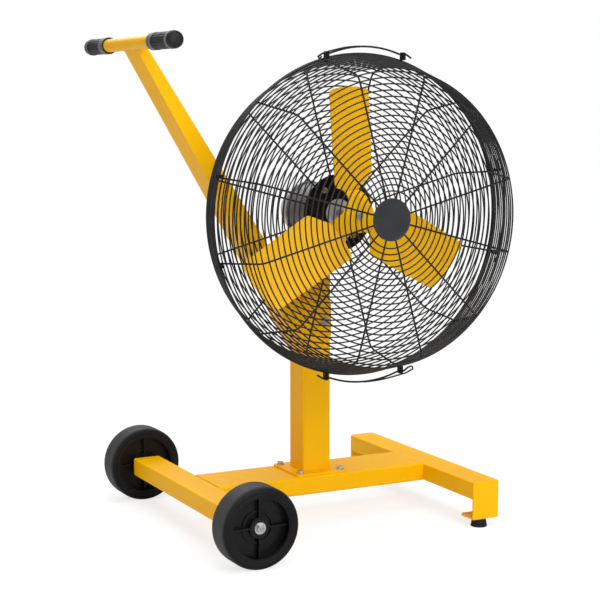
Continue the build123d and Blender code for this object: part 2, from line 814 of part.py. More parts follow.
def make_rotor_core():
    length = stator_back - stator_front - 10
    core = Cylinder(stator_bore - air_gap, length) - Cylinder(shaft_radius, 2 * length)
    return [axis_frame((stator_back + stator_front) / 2) * core]


def make_motor_bearings():
    ring = disc(bearing_outer, bearing_width, shaft_radius + running_clearance)
    front = axis_frame(front_bearing_y + bearing_width) * ring
    back = axis_frame(motor_back + rear_bearing_seat + bearing_width) * ring
    return [front, back]


def make_terminal_box():
    """Box with a lid on the motor's flat seat."""
    body = Box(box_depth, box_width, box_height, align=(LOW, MID, MID))
    body = fillet(body.edges().filter_by(Axis.X), 6)
    room = Box(box_depth, box_width - 2 * box_wall - 4, box_height - 2 * box_wall - 4, align=(LOW, MID, MID))
    body -= Pos(box_wall, 0, 0) * room
    body = Pos(box_seat_x, box_y, fan_height) * body
    body -= rod(gland_bore + 3, (gland_x, box_y, fan_height - box_height), (gland_x, box_y, fan_height))
    lid = Box(4, box_width, box_height, align=(LOW, MID, MID))
    lid = fillet(lid.edges().filter_by(Axis.X), 6)
    lid = Pos(box_seat_x + box_depth, box_y, fan_height) * lid
    return [body, lid]


gland_x = box_seat_x + box_depth / 2


def make_cable_gland():
    seat = fan_height - box_height / 2
    place = frame_at((gland_x, box_y, seat), (0, 0, -1))
    body = hexagon(2 * gland_radius, 8)
    body += Pos(0, 0, 8) * Cylinder(gland_radius * 0.8, gland_length - 8, align=(MID, MID, LOW))
    body += Pos(0, 0, -box_wall - 2) * Cylinder(gland_bore + 3, box_wall + 2, align=(MID, MID, LOW))
    return [place * (body - Cylinder(gland_bore, 3 * gland_length))]


# ---------------------------------------------------------------- guard

def dish_frame(side):
    """Working plane on the guard's mid-plane, its normal out of the front (-1) or rear (1) dish."""
    return Plane(origin=(0, guard_mid_y, fan_height), x_dir=(-side, 0, 0), z_dir=(0, side, 0))


rim_offset = (rim_wire + rim_gap) / 2
wall_out = 1 / sqrt(1 + wall_slope ** 2)               # outward normal of the side wall, radial part
wall_up = wall_slope * wall_out                        # and its part along the axis
rib_ends = {-1: front_rib_start, 1: rear_rib_start}
dish_depth = {-1: front_depth, 1: rear_depth}
knee_turn = acos(wall_up)                              # from the side wall's run to the face's
knee_reach = knee_bend * tan(knee_turn / 2)


def knee_radius(side):
    """Radius at which the side wall and the flat face would meet without the rounding."""
    return rim_radius - wall_slope * (dish_depth[side] - rim_offset)


def make_face_rings(side):
    rings = []
    start = knee_radius(side) - knee_reach
    stop = plate_radius + ring_wire / 2 if side > 0 else smallest_ring
    for index in range(int((start - stop) / ring_pitch) + 1):
        ring = Torus(start - index * ring_pitch, ring_wire / 2)
        rings.append(dish_frame(side) * Pos(0, 0, dish_depth[side]) * ring)
    return rings


def make_side_rings(side):
    """Rings up the side wall and one in the middle of the rounded knee."""
    depth = dish_depth[side]
    knee_start = depth - knee_reach * wall_out
    run = (knee_start - rim_offset) / wall_out
    count = int(run / ring_pitch) + 1
    spots = []
    for index in range(1, count + 1):
        offset = rim_offset + (knee_start - rim_offset) * index / count
        spots.append((rim_radius - wall_slope * (offset - rim_offset), offset))
    middle = knee_radius(side) - knee_reach + knee_bend * sin(knee_turn / 2)
    spots.append((middle, depth - knee_bend + knee_bend * cos(knee_turn / 2)))
    return [dish_frame(side) * Pos(0, 0, offset) * Torus(radius, ring_wire / 2) for radius, offset in spots]


def make_rim_ring(side):
    return [dish_frame(side) * Pos(0, 0, rim_offset) * Torus(rim_radius, rim_wire / 2)]


def rib_points(side):
    """Corner points of a rib in the plane of the fan axis: face run, bend, side wall run."""
    top = dish_depth[side] - rib_lift
    inset = rib_lift * wall_out
    knee = (knee_radius(side) - inset + wall_slope * rib_lift * (1 - wall_up), 0, top)
    end_z = rib_wire / 2 * wall_up + rim_gap
    end = (rim_radius - inset + wall_slope * (rim_offset - rib_lift * wall_up - end_z), 0, end_z)
    return [(rib_ends[side], 0, top), knee, end]


def make_ribs(side):
    rib = bent_wire(rib_wire / 2, rib_points(side), [knee_bend - rib_lift])
    ribs = []
    for index in range(rib_count):
        turn = (index + 0.5) * 360 / rib_count
        ribs.append(dish_frame(side) * Rot(0, 0, turn) * rib)
    return ribs


def make_guard_plate():
    place = Plane(origin=(0, plate_back_y, fan_height), x_dir=(1, 0, 0), z_dir=(0, -1, 0))
    plate = disc(plate_radius, plate_thickness, plate_hole)
    for x, y in plate_bolt_spots():
        plate -= Pos(x, y, 0) * Cylinder(m8_radius, 4 * plate_thickness)
    return [place * plate]


def make_guard_plate_bolts():
    bolts = []
    for x, y in plate_bolt_spots():
        screw = bolt(m8_radius, m8_flats, m8_head, m8_washer_radius, m8_washer, plate_thickness + 12)
        bolts.append(axis_frame(plate_front_y) * Pos(x, y, 0) * screw)
    return bolts


def make_badge():
    """Bare round disc with a rolled edge on the front ribs' inner ends."""
    seat = guard_mid_y - front_depth + rib_seat
    body = turned([
        (0, 0), (badge_radius - 1, 0), (badge_radius, 1), (badge_radius, badge_thickness - 1),
        (badge_radius - 1, badge_thickness), (badge_radius - 3, badge_thickness),
        (badge_radius - 4, badge_thickness - 0.6), (0, badge_thickness - 0.6),
    ])
    return [axis_frame(seat) * body]


# ---------------------------------------------------------------- latches

latch_line = sqrt(latch_radius ** 2 - latch_half_span ** 2)   # hinge line from the fan axis
latch_names = ("latch_top", "latch_right", "latch_bottom", "latch_left")


def latch_frame(index):
    """Working frame turned so that +Y runs from the fan axis to a latch."""
    return dish_frame(-1) * Pos(0, 0, latch_forward) * Rot(0, 0, -90 * index)


def make_latch(index):
    """Bowed wire turning in two blocks, with a second wire welded on that ends in a hook."""
    inner = latch_half_span - block_length / 2 - latch_bend_gap
    outer = latch_half_span + block_length / 2 + latch_bend_gap
    points = [
        (-latch_tail, latch_line - latch_tail_drop, 0), (-outer, latch_line, 0), (-inner, latch_line, 0),
        (0, latch_line + latch_apex, 0), (inner, latch_line, 0), (outer, latch_line, 0),
        (latch_tail, latch_line - latch_tail_drop, 0),
    ]
    bow = bent_wire(latch_wire / 2, points, [12, 25, latch_bow, 25, 12])
    slope = latch_apex / inner
    drop = latch_bow * (sqrt(1 + slope ** 2) - 1)
    beside = latch_wire - 0.4
    top = latch_line + latch_apex - drop
    hook_points = [
        (0, top, beside), (-drop / slope, top, beside), (-outer, latch_line + 2, latch_hook_depth),
        (-latch_tail - 8, latch_line - 8, latch_hook_depth),
        (-latch_tail - 2, latch_line - 15, latch_hook_depth - 3), (-outer - 8, latch_line - 9, 7),
    ]
    hook = bent_wire(latch_wire / 2 - 0.4, hook_points, [latch_bow - 6, 40, 4, 4])
    return [latch_frame(index) * (bow + hook)]


def make_latch_blocks():
    """Blocks on the front ribs that carry the latch wires."""
    blocks = []
    for index in range(4):
        for side in (-1, 1):
            spot = Pos(side * latch_half_span, latch_line, 0)
            height = block_top + block_bottom
            block = Box(block_length, height, 2 * block_half_depth, align=(MID, HIGH, MID))
            block = spot * Pos(0, block_top, 0) * block
            block = fillet(block.edges().filter_by(Axis.X).group_by(Axis.Y)[-1], 5)
            block = fillet(block.edges().group_by(Axis.Y)[0], 1)
            block -= spot * Rot(0, 90, 0) * Cylinder(latch_wire / 2 + running_clearance, 2 * block_length)
            block = latch_frame(index) * block
            rib_angle = 90 - side * 180 / rib_count - 90 * index
            start, knee, end = rib_points(-1)
            block -= dish_frame(-1) * Rot(0, 0, rib_angle) * rod(rib_wire / 2, end, knee)
            blocks.append(block)
    return blocks


# ---------------------------------------------------------------- rotor

def rotor_frame(index):
    """Working frame of a blade: X across it, Y along it, Z toward the front."""
    return axis_frame(rotor_y) * Rot(0, 0, -index * 360 / blade_count)


def edges_at(v):
    """Chord ends of the blade's section at a distance from the axis: u and w of both edges."""
    share = (v - blade_root[0]) / (blade_tip[0] - blade_root[0])
    return [root + (tip - root) * share for root, tip in zip(blade_root[1:], blade_tip[1:])]


def bowed_section(v, start, end, bow, thickness):
    """Section between two (u, w) points, its middle set back by the bow."""
    chord = Vector(end[0] - start[0], 0, end[1] - start[1])
    across = Vector(-chord.Z, 0, chord.X).normalized()
    left = Vector(start[0], v, start[1])
    right = left + chord
    middle = left + chord / 2 - across * bow
    down = across * -thickness
    return Face(Wire([
        Edge.make_three_point_arc(left, middle, right),
        Edge.make_line(right, right + down),
        Edge.make_three_point_arc(right + down, middle + down, left + down),
        Edge.make_line(left + down, left),
    ]))


def blade_station(v, lift, thickness):
    """Cambered section across the whole blade, run on past both edges."""
    ua, wa, ub, wb = edges_at(v)
    chord = sqrt((ub - ua) ** 2 + (wb - wa) ** 2)
    along = ((ub - ua) / chord, (wb - wa) / chord)
    reach = chord / 2 + blade_overrun
    rise = lift + blade_camber * ((reach / (chord / 2)) ** 2 - 1)
    middle = ((ua + ub) / 2 - along[1] * rise, (wa + wb) / 2 + along[0] * rise)
    start = (middle[0] - along[0] * reach, middle[1] - along[1] * reach)
    end = (middle[0] + along[0] * reach, middle[1] + along[1] * reach)
    return bowed_section(v, start, end, rise - lift + blade_camber, thickness)


def blade_sheet(lift, thickness):
    stations = [blade_station(v, lift, thickness) for v in (0.0, 120.0, 240.0, 360.0)]
    return loft(stations, ruled=False)


def blade_outline():
    """Front view of a blade: straight edges, round outer edge, rounded corners and a sloping root."""
    reach = blade_outer_radius + 60
    far = edges_at(reach)
    outline = make_face(Polyline(
        (edges_at(root_left)[0], root_left), (far[0], reach), (far[2], reach),
        (edges_at(root_right)[2], root_right), (neck[1], neck_end), (neck[0], neck_end),
        (edges_at(root_left)[0], root_left),
    ))
    outline &= Circle(blade_outer_radius)
    return fillet(outline.vertices(), blade_corner)


def make_blade(index):
    sheet = blade_sheet(0, blade_thickness) & extrude(blade_outline(), 120, both=True)
    return [rotor_frame(index) * sheet]


def back_of_blade(u, v):
    """Point on the back of the blade, where an arm lies against it."""
    ua, wa, ub, wb = edges_at(v)
    slope = (wb - wa) / (ub - ua)
    across = 2 * (u - ua) / (ub - ua) - 1
    lift = blade_camber * (across ** 2 - 1) - blade_thickness - 4 * arm_gap
    return u, wa + (u - ua) * slope + lift * sqrt(1 + slope ** 2)


def make_arm():
    """Arm that leaves the hub flat, twists and then follows the back of its blade."""
    left, right = neck
    middle = (left + right) / 2
    half = (right - left) / 2
    flank = half - 10
    plan = make_face(Polyline(
        (left, neck_end), (left, arm_reach - 10), (middle - flank, arm_reach), (middle + flank, arm_reach),
        (right, arm_reach - 10), (right, neck_end), (left, neck_end),
    ))
    arm = blade_sheet(-blade_thickness - arm_gap, arm_thickness) & extrude(plan, 120, both=True)
    flat = [((-neck_half, boss_ahead), (neck_half, boss_ahead), 0.2)]
    twisted = [(back_of_blade(left, neck_end + 1), back_of_blade(right, neck_end + 1), 0.9)]
    sections = [bowed_section(v, *shape, arm_thickness)
                for v, shape in zip((20.0, 38.0, neck_end + 0.5), flat + flat + twisted)]
    return arm + loft(sections, ruled=False)


def make_hub():
    """Boss and disc with three arms that back the blades."""
    length = boss_ahead + boss_behind
    hub = axis_frame(boss_back) * Cylinder(boss_radius, length, align=(MID, MID, LOW))
    hub += axis_frame(boss_front) * Cylinder(hub_disc_radius, arm_thickness, align=(MID, MID, HIGH))
    arm = make_arm()
    for index in range(blade_count):
        hub += rotor_frame(index) * arm
    hub -= axis_frame(0) * Cylinder(shaft_radius, 700)
    return [hub]


def make_shaft():
    start = (0, motor_back + shaft_past_body, fan_height)
    end = (0, boss_front + 3, fan_height)
    shaft = rod(shaft_radius, start, end)
    return [shaft - rod(hub_bolt_radius, (0, boss_front + 3 + hub_bolt_depth, fan_height), end)]


def make_hub_bolt():
    size = (hub_bolt_radius, hub_bolt_flats, hub_bolt_head)
    screw = bolt(*size, hub_washer_radius, hub_washer, hub_bolt_depth)
    return [axis_frame(boss_front) * screw]


NODES = {
    "axle_beam": make_axle_beam,
    "axle_end_plates": make_axle_end_plates,
    "spine_tube": make_spine_tube,
    "front_bar": make_front_bar,
    "foot_brackets": make_foot_brackets,
    "rubber_feet": make_rubber_feet,
    "foot_bolts": make_foot_bolts,
    "axle_rod": make_axle_rod,
    "axle_washers": make_axle_washers,
    "axle_nuts": make_axle_nuts,
    "mast_base_plate": make_mast_base_plate,
    "base_bolts": make_base_bolts,
    "mast": make_mast,
    "handle_arm": make_handle_arm,
    "arm_bolt": make_arm_bolt,
    "handle_bar": make_handle_bar,
    "grips": make_grips,
    "grip_rings": make_grip_rings,
    "tilt_bracket": make_tilt_bracket,
    "tilt_bolt": make_tilt_bolt,
    "cross_bolt_nuts": make_cross_bolt_nuts,
    "tyre_near": lambda: make_tyre(-1),
    "tyre_far": lambda: make_tyre(1),
    "wheel_core_near": lambda: make_wheel_core(-1),
    "wheel_core_far": lambda: make_wheel_core(1),
    "wheel_bearings_near": lambda: make_wheel_bearings(-1),
    "wheel_bearings_far": lambda: make_wheel_bearings(1),
    "motor_cradle": make_motor_cradle,
    "cradle_bolts": make_cradle_bolts,
    "motor_body": make_motor_body,
    "motor_front_bell": make_motor_front_bell,
    "motor_nose": make_motor_nose,
    "motor_rear_bell": make_motor_rear_bell,
    "stator": make_stator,
    "motor_bearings": make_motor_bearings,
    "terminal_box": make_terminal_box,
    "cable_gland": make_cable_gland,
    "guard_plate": make_guard_plate,
    "guard_plate_bolts": make_guard_plate_bolts,
    "rear_face_rings": lambda: make_face_rings(1),
    "rear_side_rings": lambda: make_side_rings(1),
    "rear_rim_ring": lambda: make_rim_ring(1),
    "rear_ribs": lambda: make_ribs(1),
    "front_face_rings": lambda: make_face_rings(-1),
    "front_side_rings": lambda: make_side_rings(-1),
    "front_rim_ring": lambda: make_rim_ring(-1),
    "front_ribs": lambda: make_ribs(-1),
    "badge": make_badge,
    "latch_blocks": make_latch_blocks,
    "latch_top": lambda: make_latch(0),
    "latch_right": lambda: make_latch(1),
    "latch_bottom": lambda: make_latch(2),
    "latch_left": lambda: make_latch(3),
    "shaft": make_shaft,
    "rotor_core": make_rotor_core,
    "hub": make_hub,
    "blade_1": lambda: make_blade(0),
    "blade_2": lambda: make_blade(1),
    "blade_3": lambda: make_blade(2),
    "hub_bolt": make_hub_bolt,
}

os.makedirs("parts", exist_ok=True)
groups = {}
for name, make in NODES.items():
    solids = [solid for part in make() for solid in part.solids()]
    groups[name] = Compound(children=solids)
boxes = [group.bounding_box() for group in groups.values()]
centre_x = (min(b.min.X for b in boxes) + max(b.max.X for b in boxes)) / 2
centre_y = (min(b.min.Y for b in boxes) + max(b.max.Y for b in boxes)) / 2
for name, group in groups.items():
    export_step(Pos(-centre_x, -centre_y, 0) * group, "parts/" + name + ".step")
print("origin from the mast axis:", round(centre_x, 4), round(centre_y, 4))
print("nodes:", len(groups))
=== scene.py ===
import json
import math
import bmesh
import bpy
import numpy as np
from mathutils import Matrix, Vector


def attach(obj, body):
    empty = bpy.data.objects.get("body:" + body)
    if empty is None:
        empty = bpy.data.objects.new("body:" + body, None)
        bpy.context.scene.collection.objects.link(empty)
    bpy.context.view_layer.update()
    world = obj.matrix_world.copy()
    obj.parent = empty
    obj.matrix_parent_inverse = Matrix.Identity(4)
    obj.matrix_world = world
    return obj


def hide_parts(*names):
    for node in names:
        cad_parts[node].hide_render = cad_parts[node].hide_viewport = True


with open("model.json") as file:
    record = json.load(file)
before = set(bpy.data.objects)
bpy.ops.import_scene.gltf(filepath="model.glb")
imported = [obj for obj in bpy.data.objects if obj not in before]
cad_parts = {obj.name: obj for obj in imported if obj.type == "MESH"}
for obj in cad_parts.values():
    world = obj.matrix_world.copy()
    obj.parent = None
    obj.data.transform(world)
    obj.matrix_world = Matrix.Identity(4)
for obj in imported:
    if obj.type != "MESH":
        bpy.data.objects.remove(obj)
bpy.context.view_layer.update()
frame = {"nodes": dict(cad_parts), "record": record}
nodes = frame["nodes"]

# places in the row frame, in metres
MAST_X, MAST_Y = 0.05232, 0.00875
FAN_Z = 0.8495                              # the fan's axis above the floor
GUARD_Y = MAST_Y - 0.2762                   # plane where the two dishes meet
HANDLE_X, HANDLE_Z = MAST_X - 0.5126, 1.2853

# guard; a side is FRONT or REAR, and heights in a dish go outwards from GUARD_Y
FRONT, REAR = -1, 1
RIM_R = 0.410
RIM_OFF = 0.0031                            # rim wire's centre above GUARD_Y
DEPTH = {FRONT: 0.1634, REAR: 0.1148}
SLOPE = 0.2635                              # inward lean of the side wall
KNEE = 0.025                                # bend from the side wall to the face
PITCH = 0.0154                              # from ring to ring
RING, RIB, RIM = 0.0038, 0.0048, 0.0060     # wire diameters
WELD_BITE = 0.0001
RIM_CLEAR = 0.0002                          # rib ends short of GUARD_Y
FACE_STOP = {FRONT: 0.060, REAR: 0.1039}    # no face ring is smaller
RIB_START = {FRONT: 0.034, REAR: 0.088}     # inner ends of the ribs
RIBS, FIRST_RIB = 12, 15                    # how many, and the first one's angle
NUGGET = (0.0023, 0.0026, 0.0011)           # half sizes of a weld
FACE_POINTS, FEWEST = 640, 96               # around a face ring: for each metre of radius, at least
WALL_POINTS, RIM_POINTS = 240, 260          # around a side ring and the rim

# latches
LATCH_R = RIM_R + 0.014                     # hinge wires from the fan's axis
LATCH_FORWARD = 0.024                       # ahead of GUARD_Y
HALF_SPAN = 0.110                           # from the middle to a block
BLOCK_REACH = 0.010                         # straight wire on each side of a block's middle
BOW_WIRE, HOOK_WIRE = 0.0050, 0.0042        # wire diameters
BOW_APEX, BOW_BEND = 0.034, 0.285           # where its straight ends would meet, and its radius
BLOCK_BEND, TAIL_BEND = 0.025, 0.012
TAIL, TAIL_DROP = 0.134, 0.009              # ends of the bow's wire
HOOK_DEPTH = 0.015                          # hook's loop ahead of the bow


# ------------------------------------------------------------------ meshes

def bands(count, around, closed=False):
    """Faces between neighbouring rings of vertices."""
    faces = []
    for i in range(count if closed else count - 1):
        j = (i + 1) % count
        for k in range(around):
            after = (k + 1) % around
            faces.append((i * around + k, i * around + after, j * around + after, j * around + k))
    return faces


def caps(count, around):
    """Faces that close the first and the last ring."""
    return [tuple(range(around))[::-1], tuple((count - 1) * around + k for k in range(around))]


def unit_ball():
    bm = bmesh.new()
    bmesh.ops.create_icosphere(bm, subdivisions=1, radius=1.0)
    verts = [tuple(v.co) for v in bm.verts]
    faces = [tuple(v.index for v in f.verts) for f in bm.faces]
    bm.free()
    return verts, faces


BALL = unit_ball()


class Builder:
    """Collects vertices and faces of one piece."""

    def __init__(self):
        self.verts = []
        self.faces = []

    def add(self, verts, faces):
        base = len(self.verts)
        self.verts.extend(tuple(map(float, v)) for v in verts)
        self.faces.extend(tuple(i + base for i in f) for f in faces)

    def tube(self, path, radius, sides=12, closed=False):
        """Round wire along a path, with domed ends unless it is closed."""
        p = np.asarray(path, float)
        if closed:
            tangent = np.roll(p, -1, 0) - np.roll(p, 1, 0)
        else:
            tangent = np.gradient(p, axis=0)
        tangent /= np.linalg.norm(tangent, axis=1)[:, None]
        start = np.cross(tangent[0], (0.0, 0.0, 1.0))
        if np.linalg.norm(start) < 1e-3:
            start = np.cross(tangent[0], (0.0, 1.0, 0.0))
        normal = [start / np.linalg.norm(start)]
        for along in tangent[1:]:
            v = normal[-1] - along * np.dot(normal[-1], along)
            normal.append(v / np.linalg.norm(v))
        normal = np.array(normal)
        side = np.cross(tangent, normal)
        a = np.linspace(0, 2 * np.pi, sides, endpoint=False)[None, :, None]
        ring = normal[:, None, :] * np.cos(a) + side[:, None, :] * np.sin(a)
        rings = [centre + spokes * radius for centre, spokes in zip(p, ring)]
        if not closed:
            first, last = self.domes(p, tangent, ring, radius)
            rings = first[::-1] + rings + last
        faces = bands(len(rings), sides, closed)
        if not closed:
            faces += caps(len(rings), sides)
        self.add(np.concatenate(rings), faces)

    @staticmethod
    def domes(p, tangent, ring, radius, height=0.7, steps=4):
        """Shrinking rings past each end of a wire; height is a share of its radius."""
        slants = [k * math.pi / 2 / steps for k in range(1, steps)]
        return [[
            p[end] + sign * tangent[end] * radius * height * math.sin(slant)
            + ring[end] * radius * math.cos(slant)
            for slant in slants
        ] for end, sign in ((0, -1), (-1, 1))]

    def lathe(self, profile, place, segments):
        """Turned form from (radius, height) points that start and end on the place's Z."""
        rings = [placed(place, circle(radius, z, segments)) for radius, z in profile]
        self.add(np.concatenate(rings), bands(len(rings), segments))

    def blob(self, centre, size, axes):
        """Small rounded nugget of half sizes along three axes."""
        verts, faces = BALL
        v = np.asarray(verts) * np.asarray(size)
        self.add(np.asarray(centre) + v @ np.asarray(axes), faces)

    def build(self, name, material, body, slot, replaces=(), sharp=None):
        """Makes the piece, which rides its body and stands for the CAD nodes it replaces."""
        mesh = bpy.data.meshes.new(name)
        mesh.from_pydata(self.verts, [], self.faces)
        mesh.update()
        bm = bmesh.new()
        bm.from_mesh(mesh)
        bmesh.ops.remove_doubles(bm, verts=bm.verts, dist=1e-7)
        bmesh.ops.recalc_face_normals(bm, faces=bm.faces)
        bm.to_mesh(mesh)
        bm.free()
        mesh.polygons.foreach_set("use_smooth", [True] * len(mesh.polygons))
        if sharp is not None:
            mesh.set_sharp_from_angle(angle=math.radians(sharp))
        mesh.materials.append(material)
        obj = bpy.data.objects.new(name, mesh)
        bpy.context.scene.collection.objects.link(obj)
        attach(obj, body)
        if replaces:
            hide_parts(*replaces)


def rounded(points, radii, steps):
    """Straight runs with arcs at the inner corners."""
    pts = [np.asarray(p, float) for p in points]
    out = [pts[0]]
    for here, before, after, radius in zip(pts[1:-1], pts[:-2], pts[2:], radii):
        back = (before - here) / np.linalg.norm(before - here)
        ahead = (after - here) / np.linalg.norm(after - here)
        half = math.acos(max(-1.0, min(1.0, float(np.dot(back, ahead))))) / 2
        reach = radius / math.tan(half)
        middle = back + ahead
        centre = here + middle / np.linalg.norm(middle) * radius / math.sin(half)
        a = here + back * reach - centre
        b = here + ahead * reach - centre
        angle = math.acos(max(-1.0, min(1.0, float(np.dot(a, b)) / radius ** 2)))
        for k in range(steps + 1):
            t = k / steps
            arc = a * math.sin((1 - t) * angle) + b * math.sin(t * angle)
            out.append(centre + arc / math.sin(angle))
    out.append(pts[-1])
    return np.array(out)


def placed(matrix, points):
    m = np.array(matrix)
    p = np.asarray(points, float)
    return p @ m[:3, :3].T + m[:3, 3]


def circle(radius, z, count):
    a = np.linspace(0, 2 * np.pi, count, endpoint=False)
    return np.stack([radius * np.cos(a), radius * np.sin(a), np.full(count, z)], 1)


def spin(degrees):
    """Turn about Z."""
    a = math.radians(degrees)
    return np.array([[math.cos(a), -math.sin(a), 0], [math.sin(a), math.cos(a), 0], [0, 0, 1.0]])


# ------------------------------------------------------------------ materials

def linear(r, g, b):
    """Shader colour of a screen colour with channels up to 255."""
    out = []
    for c in (r, g, b):
        c /= 255
        out.append(c / 12.92 if c <= 0.04045 else ((c + 0.055) / 1.055) ** 2.4)
    return (*out, 1.0)


class Shader:
    """Node helpers round one Principled surface, all textures in object space."""

    def __init__(self, name, roughness=0.5, metallic=0.0, specular=0.5):
        self.material = bpy.data.materials.new(name)
        self.material.use_nodes = True
        self.tree = self.material.node_tree
        self.surface = self.tree.nodes["Principled BSDF"]
        self.surface.inputs["Metallic"].default_value = metallic
        self.surface.inputs["Roughness"].default_value = roughness
        self.surface.inputs["Specular IOR Level"].default_value = specular
        self.coords = self.tree.nodes.new("ShaderNodeTexCoord").outputs["Object"]
        self.normal = None

    def node(self, kind, **values):
        made = self.tree.nodes.new(kind)
        for key, value in values.items():
            setattr(made, key, value)
        return made

    def link(self, source, target):
        self.tree.links.new(source, target)

    def stretched(self, scale):
        mapping = self.node("ShaderNodeMapping")
        mapping.inputs["Scale"].default_value = scale
        self.link(self.coords, mapping.inputs["Vector"])
        return mapping.outputs["Vector"]

    def noise(self, scale, detail=3.0, rough=0.55, vector=None):
        made = self.node("ShaderNodeTexNoise")
        made.inputs["Scale"].default_value = scale
        made.inputs["Detail"].default_value = detail
        made.inputs["Roughness"].default_value = rough
        self.link(vector or self.coords, made.inputs["Vector"])
        return made.outputs["Fac"]

    def spread(self, value, low, high, start=0.3, end=0.7):
        """Stretches a value from its own range to low and high."""
        made = self.node("ShaderNodeMapRange")
        made.inputs["From Min"].default_value = start
        made.inputs["From Max"].default_value = end
        made.inputs["To Min"].default_value = low
        made.inputs["To Max"].default_value = high
        self.link(value, made.inputs["Value"])
        return made.outputs["Result"]

    def mix(self, factor, a, b):
        """Mix of two colours, each a value or a socket, by a factor socket."""
        made = self.node("ShaderNodeMix", data_type="RGBA")
        self.link(factor, made.inputs["Factor"])
        for value, socket in ((a, made.inputs[6]), (b, made.inputs[7])):
            if isinstance(value, tuple):
                socket.default_value = value
            else:
                self.link(value, socket)
        return made.outputs[2]

    def clouds(self, base, deep, scale, detail=4.0):
        """Two close tones in soft clouds."""
        return self.mix(self.spread(self.noise(scale, detail), 0.0, 1.0), base, deep)

    def colour(self, value):
        self.link(value, self.surface.inputs["Base Color"])

    def rough(self, value, low, high):
        self.link(self.spread(value, low, high), self.surface.inputs["Roughness"])

    def bevel(self, radius):
        made = self.node("ShaderNodeBevel", samples=6)
        made.inputs["Radius"].default_value = radius
        self.normal = made.outputs["Normal"]

    def painted_edge_highlight(self, tone, base, lift, most):
        """The tone with a painted highlight, lighter along the bevelled edges."""
        plain = self.node("ShaderNodeNewGeometry").outputs["Normal"]
        dot = self.node("ShaderNodeVectorMath", operation="DOT_PRODUCT")
        self.link(plain, dot.inputs[0])
        self.link(self.normal, dot.inputs[1])
        edge = self.spread(dot.outputs["Value"], 1.0, 0.0, 0.86, 0.995)
        light = tuple(min(1.0, c * lift) for c in base[:3]) + (1.0,)
        return self.mix(self.spread(edge, 0.0, most, 0.2, 1.0), tone, light)

    def running_face(self):
        """One on faces that look square to the axle, nought on a wheel's sides."""
        parts = self.node("ShaderNodeSeparateXYZ")
        self.link(self.node("ShaderNodeTexCoord").outputs["Normal"], parts.inputs[0])
        size = self.node("ShaderNodeMath", operation="ABSOLUTE")
        self.link(parts.outputs["Y"], size.inputs[0])
        return self.spread(size.outputs[0], 1.0, 0.0, 0.35, 0.8)

    def bump(self, height, strength, distance):
        made = self.node("ShaderNodeBump")
        made.inputs["Strength"].default_value = strength
        made.inputs["Distance"].default_value = distance
        self.link(height, made.inputs["Height"])
        if self.normal is not None:
            self.link(self.normal, made.inputs["Normal"])
        self.normal = made.outputs["Normal"]

    def done(self):
        self.link(self.normal, self.surface.inputs["Normal"])
        return self.material


def powder_coat(name, base, deep, roughness, bevel=0.0008):
    """Paint with a fine orange peel, and a painted highlight that makes it a little lighter along
    the edges.
    """
    s = Shader(name, specular=0.11)
    s.surface.inputs["Coat Weight"].default_value = 0.02
    s.surface.inputs["Coat Roughness"].default_value = 0.22
    s.bevel(bevel)
    s.colour(s.painted_edge_highlight(s.clouds(base, deep, 5.0), base, 1.25, 0.35))
    s.rough(s.noise(38.0, 5.0), roughness - 0.05, roughness + 0.08)
    s.bump(s.noise(420.0, 2.0), 0.35, 0.00012)
    s.bump(s.noise(1900.0, 2.0), 0.12, 0.00004)
    return s.done()


def wire_coat(name, base, deep):
    """Thin coating on wire, with no bevel because the wire is round."""
    s = Shader(name, specular=0.34)
    s.colour(s.clouds(base, deep, 26.0))
    s.rough(s.noise(160.0, 3.0), 0.36, 0.52)
    s.bump(s.noise(900.0, 2.0), 0.3, 0.0001)
    return s.done()


def cast_metal(name, base, deep, roughness, metallic, grain):
    """Painted or bare casting with a grainy skin, and a painted highlight along its edges."""
    s = Shader(name, metallic=metallic)
    s.bevel(0.0008)
    s.colour(s.painted_edge_highlight(s.clouds(base, deep, 30.0, 5.0), base, 1.35, 0.4))
    s.rough(s.noise(90.0, 4.0), roughness - 0.08, roughness + 0.1)
    s.bump(s.noise(grain, 4.0, 0.65), 0.35, 0.0002)
    return s.done()


def plated(name, base, tint, roughness):
    """Bright metal with fine drawn streaks."""
    s = Shader(name, metallic=1.0)
    s.bevel(0.0006)
    s.colour(s.clouds(base, tint, 45.0))
    streak = s.noise(1.0, 3.0, 0.5, s.stretched((60.0, 60.0, 900.0)))
    s.rough(streak, roughness - 0.06, roughness + 0.1)
    s.bump(streak, 0.08, 0.00006)
    s.bump(s.noise(700.0, 2.0), 0.1, 0.00005)
    return s.done()


def moulded(name, base, deep, roughness, grain, strength,
            bevel=0.001, dust=0.0, shine=0.30, tread=None):
    """Rubber or plastic with a fine grain; tread is the tone of a worn running face."""
    s = Shader(name, specular=shine)
    s.bevel(bevel)
    tone = s.clouds(base, deep, 18.0)
    if tread:
        tone = s.mix(s.running_face(), tone, tread)
    if dust:
        tone = s.mix(s.spread(s.noise(7.0, 5.0), 0.0, dust, 0.4, 0.75), tone, linear(128, 124, 116))
    s.colour(tone)
    s.rough(s.noise(60.0, 4.0), roughness - 0.06, roughness + 0.09)
    s.bump(s.noise(grain, 3.0), strength, 0.00015)
    return s.done()


WIRE = wire_coat("black_wire_coat", linear(19, 19, 20), linear(31, 31, 32))
SEAL = moulded("bearing_seal", linear(20, 20, 21), linear(13, 13, 14), 0.45, 900.0, 0.2, 0.0006)
GRIP = moulded("grip_rubber", linear(24, 24, 25), linear(16, 16, 17), 0.50, 800.0, 0.5)
BADGE = moulded("badge_grey", linear(46, 47, 50), linear(38, 39, 42), 0.40, 1200.0, 0.2, 0.0006)

